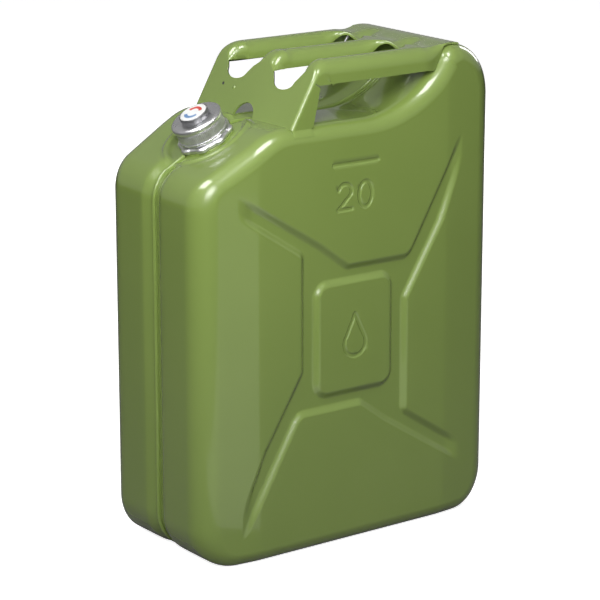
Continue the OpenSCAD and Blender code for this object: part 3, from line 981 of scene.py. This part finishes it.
def fillet(points, radius=0.4, n=3):
    """Profile with its corners rounded; a third value on a point gives its own radius."""
    out = []
    k = len(points)
    for i, p in enumerate(points):
        r = p[2] if len(p) > 2 else radius
        a, b, c = (np.array(points[j][:2], float) for j in ((i - 1) % k, i, (i + 1) % k))
        if r <= 0 or (i in (0, k - 1) and (b[0] == 0)):
            out.append(tuple(b))
            continue
        u, v = unit(a - b), unit(c - b)
        half = math.acos(float(np.clip(u @ v, -1, 1))) / 2
        if half > math.pi / 2 - 0.03:
            out.append(tuple(b))
            continue
        cut = min(r / math.tan(half), 0.45 * np.linalg.norm(a - b), 0.45 * np.linalg.norm(c - b))
        rr = cut * math.tan(half)
        centre = b + unit(u + v) * rr / math.sin(half)
        s, e = b + u * cut - centre, b + v * cut - centre
        for t in np.linspace(0, 1, n + 1):
            d = unit((1 - t) * s + t * e) * rr
            out.append(tuple(centre + d))
    return out


RING_R, LOBES, LOBE_AT, LOBE_R, HOLLOW_R = 27.6, 8, 19.6, 8.0, 25.3


def lobed(r, h, a):
    """Outer wall of the cast ring: a circle with rounded lobes; the bore stays round."""
    if r < 23:
        return np.full(len(a), float(r))
    half = math.pi / LOBES
    d = np.abs((a + half) % (2 * half) - half)
    lobe = LOBE_AT * np.cos(d) + np.sqrt(np.maximum(LOBE_R ** 2 - (LOBE_AT * np.sin(d)) ** 2, 0))
    # soft maximum of the lobes and the circle between them
    k = 6.0
    out = np.log(np.exp(k * (lobe - 25)) + np.exp(k * (HOLLOW_R - 25))) / k + 25
    return np.minimum(out, RING_R) - (RING_R - r)


def ribbed(r, h, a):
    """Outer wall of the grip band: 84 fine ribs that waver a little with height."""
    if r < 23.1:
        return np.full(len(a), float(r))
    return r - 0.16 + 0.16 * np.cos(84 * a + 0.6 * math.sin(h * 2.2))


body = lathe("cap_body", [(0, 20.6), (13.6, 20.6)] + fillet(
    [(13.6, 20.6), (15.2, 20.75, 0.4), (18.6, 21.2, 1.5), (22.4, 21.2, 2.2), (24.8, 19.8, 2.0),
     (24.8, 16.6, 1.6), (23.0, 14.5, 0.6), (22.7, 14.2, 0.1), (22.7, 5.7, 0.1), (23.3, 5.4, 0.3),
     (24.2, 5.2, 0.5), (24.2, 3.9, 0.5), (22.9, 3.4, 0.4), (22.7, 1.7, 0.2), (21.8, 1.5, 0.2),
     (21.8, 16.4, 0.6), (2.5, 16.4, 0.1), (2.5, 19.4, 0.1), (0, 19.4)], n=4)[1:],
    [POLISHED], n=160, body="cap")
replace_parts(body, "cap_shell")
band = lathe("cap_band", fillet(
    [(22.72, 5.75), (23.42, 5.75, 0.25), (23.42, 14.2, 0.25), (22.72, 14.2)], 0.1, 3),
    [KNURLED], n=672, shape=ribbed, body="cap", angle=60)
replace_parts(band, "cap_grip_band")
ring = lathe("cap_ring", fillet(
    [(21.8, -3.0, 0.4), (RING_R, -3.0, 0.9), (RING_R, 0.2, 1.2), (25.4, 1.5, 0.6), (21.8, 1.5, 0.1)], 0.4, 4),
    [CAST], n=240, shape=lobed, body="cap", angle=50)
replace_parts(ring, "cap_flange_ring")
# side wall of the boss under the label, in the darker steel that carries its painted shade
crown = lathe("cap_crown_part", [(0, 20.62)] + fillet(
    [(0, 20.62), (14.0, 20.62, 0.05), (14.0, 25.9, 0.9), (13.1, 26.0, 0.25), (13.0, 25.95, 0.1),
     (0, 25.95)], n=5)[1:],
    [CROWN_SHADE], n=128, body="cap")
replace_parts(crown, "cap_crown")


def label():
    """White disc with a ring of plain coloured arcs, without letters."""
    n = 120
    radii = [0.0, 2.5, 5.6, 8.9, 11.6, 12.6, 12.9, 12.9, 0.0]
    high = [26.28, 26.28, 26.28, 26.28, 26.28, 26.28, 26.12, 25.96, 25.96]
    a = np.arange(n) * 2 * math.pi / n
    V = [on_neck(0, 0, high[0])]
    for r, h in zip(radii[1:-1], high[1:-1]):
        V.append(on_neck(r * np.cos(a), r * np.sin(a), np.full(n, h)))
    V.append(on_neck(0, 0, high[-1]))
    V = np.vstack(V)
    F, M = [], []
    rows = len(radii) - 2
    for i in range(n):
        k = (i + 1) % n
        deg = (math.degrees(a[i]) + 180) % 360 - 180
        mark = 1 if -52 < deg < 78 else 2 if (deg > 126 or deg < -104) else 0
        F.append((0, 1 + i, 1 + k))
        M.append(0)
        for j in range(rows - 1):
            F.append((1 + j * n + i, 1 + (j + 1) * n + i, 1 + (j + 1) * n + k, 1 + j * n + k))
            M.append(mark if j == 1 else 0)
        last = 1 + (rows - 1) * n
        F.append((last + i, len(V) - 1, last + k))
        M.append(0)
    ob = mesh_object("cap_label_disc", V, F, mats=[WHITE, RED, BLUE], face_mats=M, body="cap")
    fix_and_shade(ob, 40)
    return ob


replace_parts(label(), "cap_label")

# neck tube with its screw thread
tube = lathe("neck_tube", fillet([(18.0, -9.0, 0.3), (19.5, -9.0, 0.3), (19.5, 12.5, 0.7),
                                  (18.0, 12.5, 0.7)], 0.4, 4), [PLATED], n=128)
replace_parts(tube, "filler_neck")


def thread():
    """Screw thread of the neck as a helix that fades in and out."""
    turns, per, lead, root = 1.75, 96, 5.5, 19.2
    n = int(turns * per)
    half = [(root, 1.5), (20.0, 1.3), (21.2, 0.62), (21.48, 0.3)]
    prof = np.array([(r, -h) for r, h in half] + half[::-1])
    V = []
    for i in range(n + 1):
        a = 2 * math.pi * i / per
        grow = float(smooth(0, 1, min(i, n - i) / (per * 0.09)))
        r = root + (prof[:, 0] - root) * (0.06 + 0.94 * grow)
        h = 1.9 + lead * i / per + prof[:, 1]
        V.append(on_neck(r * math.cos(a), r * math.sin(a), h))
    ob = mesh_object("neck_thread", np.vstack(V), capped_faces(n + 1, len(prof)), mats=[PLATED])
    fix_and_shade(ob, 35)
    return ob


thread()
flange = lathe("neck_collar", fillet(
    [(19.5, -4.5, 0.05), (26.0, -4.5, 0.1), (26.0, -3.3, 0.7), (21.6, -3.3, 0.9), (20.0, -2.4, 0.8),
     (19.52, -1.6, 0.05)], 0.1, 4),
    [GREEN], n=128)
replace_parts(flange, "neck_flange")
gasket = lathe("seal_gasket", fillet([(17.0, 12.5), (20.8, 12.5), (20.8, 14.5), (17.0, 14.5)], 0.7, 4),
               [RUBBER_AND_HOLE_SHADE], n=112, body="cap_seal")
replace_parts(gasket, "cap_gasket")
disc = lathe("seal_plate", fillet(
    [(2.56, 14.5, 0.1), (12.0, 14.5, 1.2), (13.2, 14.75, 1.2), (16.2, 14.75, 1.2), (17.4, 14.5, 0.6),
     (20.8, 14.5, 0.3), (20.8, 15.7, 0.4), (2.56, 15.7, 0.1)], 0.3, 3),
    [PLATED], n=112, body="cap_seal")
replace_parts(disc, "seal_disc")
rivet = lathe("rivet", [(0, 12.98)] + fillet(
    [(0, 12.98), (3.2, 13.0, 2), (5.5, 13.7, 0.8), (5.5, 14.3, 0.2), (2.5, 14.3, 0.1), (2.5, 19.4, 0.2),
     (0, 19.4)], n=4)[1:],
    [POLISHED], n=64, body="cap")
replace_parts(rivet, "seal_rivet")

# nodes that stay as they are get the better metal
for node in ("breather_tube", "breather_bracket"):
    for s in bpy.data.objects[node].material_slots:
        s.material = PLATED


# ---------------------------------------------------------------- small parts of the handle
def foot_tab(side):
    """Lip bent out of the foot of the side fold, welded down on the shell's edge."""
    front, rear = -69.5, -47.0
    across = ((77.4, 3.2), (78.4, 1.9), (79.3, 1.35), (80.4, 1.15), (81.4, 1.0))
    rows = []
    for x in np.linspace(front, rear, 16):
        row = []
        for y, high in across:
            s = float(np.clip(1 - (face_at(x) - y) / EDGE_TOP_R, 0, 1))
            drop = EDGE_TOP_R * (1 - math.sqrt(max(1 - s * s, 0)))
            end = min(x - front, rear - x)
            lift = high * (0.55 + 0.45 * float(smooth(0, 2.4, end)))
            row.append((x, side * y, DECK_Z - drop + lift))
        rows.append(row)
    V = np.array([p for r in rows for p in r])
    F = grid_faces(rows)
    N = point_normals(V, F)
    if N[:, 2].mean() < 0:
        F = [f[::-1] for f in F]
        N = -N
    ob = thick("foot_tab_" + ("near" if side < 0 else "far"), V, F, N, V - N * 1.1, [GREEN])


foot_tab(-1)
foot_tab(1)


def plate_mark(name, y, q, profile, mat):
    """Small round mark turned about the normal of the handle's plate."""
    n = 32
    (x, z), (nx, nz) = path(q)
    centre, out, along = np.array([x, y, z]), np.array([nx, 0, nz]), np.array([nz, 0, -nx])
    V = []
    for r, h in profile:
        for i in range(n):
            a = 2 * math.pi * i / n
            spoke = math.cos(a) * along + math.sin(a) * np.array([0, 1.0, 0])
            V.append(centre + out * h + r * spoke)
    ob = mesh_object(name, np.array(V), capped_faces(len(profile), n), mats=[mat])
    fix_and_shade(ob, 40)


plate_mark("plate_pip", 30.6, 25.7, [(2.1, -0.3), (2.0, 0.05), (1.5, 0.45), (0.8, 0.7), (0.3, 0.76)], GREEN)
# the hole is not cut: a thin black disc stands on the plate as painted shade for it
plate_mark("plate_hole", 49.0, 27.0, [(1.5, -0.4), (1.5, 0.0), (1.4, 0.06), (1.1, 0.06)], RUBBER_AND_HOLE_SHADE)

# ---------------------------------------------------------------- floor and world
def link_mix(nt, fac, a, b):
    """Mix shader: a where fac is 0, b where it is 1."""
    mix = nt.nodes.new("ShaderNodeMixShader")
    for socket, out in zip(mix.inputs, (fac, a, b)):
        nt.links.new(out, socket)
    return mix.outputs[0]


bpy.ops.mesh.primitive_plane_add(size=40, location=(0, 0, 0))
floor = bpy.context.object
floor.name = "floor"
floor_mat, nt, bsdf = nodes_of("floor_pale")
floor.data.materials.append(floor_mat)
tone = noise(nt, 1.5, 2.0)
pale = ramp_node(nt, tone.outputs["Fac"], [(0.3, (0.80, 0.80, 0.80)), (0.7, (0.84, 0.84, 0.84))])
nt.links.new(pale.outputs["Color"], bsdf.inputs["Base Color"])
bsdf.inputs["Roughness"].default_value = 0.9
bsdf.inputs["Specular IOR Level"].default_value = 0.1
bsdf.inputs["Emission Color"].default_value = (1, 1, 1, 1)
bsdf.inputs["Emission Strength"].default_value = 0.92
# the camera sees a pale floor; the can is lit by a dimmer one
dim = nt.nodes.new("ShaderNodeBsdfDiffuse")
dim.inputs["Color"].default_value = (0.21, 0.21, 0.20, 1)
rays = nt.nodes.new("ShaderNodeLightPath").outputs
seen = link_mix(nt, rays["Is Camera Ray"], dim.outputs[0], bsdf.outputs[0])
nt.links.new(seen, nt.nodes["Material Output"].inputs["Surface"])

scene = bpy.context.scene
scene.world = bpy.data.worlds.new("sky")
scene.world.use_nodes = True
nt = scene.world.node_tree
sky = [nt.nodes["Background"]] + [nt.nodes.new("ShaderNodeBackground") for _ in range(2)]
for node, strength in zip(sky, (0.07, 0.30, 1.0)):
    node.inputs["Color"].default_value = (1, 1, 1, 1)
    node.inputs["Strength"].default_value = strength
rays = nt.nodes.new("ShaderNodeLightPath").outputs
lit = link_mix(nt, rays["Is Glossy Ray"], sky[0].outputs[0], sky[1].outputs[0])
seen = link_mix(nt, rays["Is Camera Ray"], lit, sky[2].outputs[0])
nt.links.new(seen, nt.nodes["World Output"].inputs["Surface"])

# ---------------------------------------------------------------- lights
KEY_AT, KEY_TO, KEY_SIZE = (-0.84, -0.96, 1.02), (-0.08, -0.05, 0.56), (0.40, 0.60)
MIDDLE = (0, 0, 0.28)
# name, place, target, size, watts, lights surfaces, shows in reflections
LIGHTS = [
    ("key", KEY_AT, KEY_TO, KEY_SIZE, 6.4, True, False),
    ("key_glint", KEY_AT, KEY_TO, KEY_SIZE, 9.4, False, True),
    ("fill", (-0.35, -0.35, 1.6), MIDDLE, (0.6, 0.6), 1.6, True, False),
    ("top_front", (-0.10, -0.85, 1.55), MIDDLE, (0.6, 0.6), 10.5, True, False),
    ("left_fill", (-1.25, -0.25, 0.95), MIDDLE, (0.6, 0.6), 3.5, True, False),
    ("back_fill", (1.25, 1.45, 1.2), (0, 0, 0.24), (0.9, 0.9), 14, True, False),
    ("back_strip", (1.6, 0.5, 0.9), (0.1, 0, 0.3), (0.3, 0.8), 5, False, True),
    ("strip_top", (-0.12, -0.55, 1.36), (-0.08, -0.07, 0.42), (0.26, 0.42), 4.6, False, True),
    ("strip_left", (-0.66, 0.0, 1.22), (-0.15, 0, 0.38), (0.50, 0.50), 9.0, False, True),
    ("floor_card", (0.096, -0.827, 0.02), (0.096, -0.827, 1.0), (0.30, 1.43), 0.62, False, True),
]


def aim_at(ob, direction):
    ob.rotation_euler = direction.to_track_quat("-Z", "Y").to_euler()


def area(name, place, target, size, watts, diffuse, glossy):
    data = bpy.data.lights.new(name, "AREA")
    data.shape = "RECTANGLE"
    data.size, data.size_y = size
    data.energy = watts
    ob = bpy.data.objects.new(name, data)
    bpy.context.scene.collection.objects.link(ob)
    ob.location = place
    aim_at(ob, Vector(target) - Vector(place))
    ob.visible_diffuse, ob.visible_glossy = diffuse, glossy
    return ob


lights = {row[0]: area(*row) for row in LIGHTS}
for name in ("key", "key_glint"):
    lights[name].data.spread = rad(95)
# the card lies flat and faces up, under the line that the front margin of the near face mirrors
lights["floor_card"].rotation_euler = (math.pi, 0, rad(26.6))
lights["floor_card"].visible_camera = False

# ---------------------------------------------------------------- camera
YAW, PITCH, FOCAL = rad(36.42), rad(15.18), 153.18
camera = bpy.data.objects.new("camera", bpy.data.cameras.new("camera"))
camera.data.sensor_width = 36
camera.data.lens = FOCAL
camera.data.clip_start, camera.data.clip_end = 0.05, 50
scene.collection.objects.link(camera)
camera.location = (-1.409, -1.905, 0.864)
aim_at(camera, Vector((math.sin(YAW) * math.cos(PITCH), math.cos(YAW) * math.cos(PITCH), -math.sin(PITCH))))
scene.camera = camera
scene.view_settings.view_transform = "Standard"
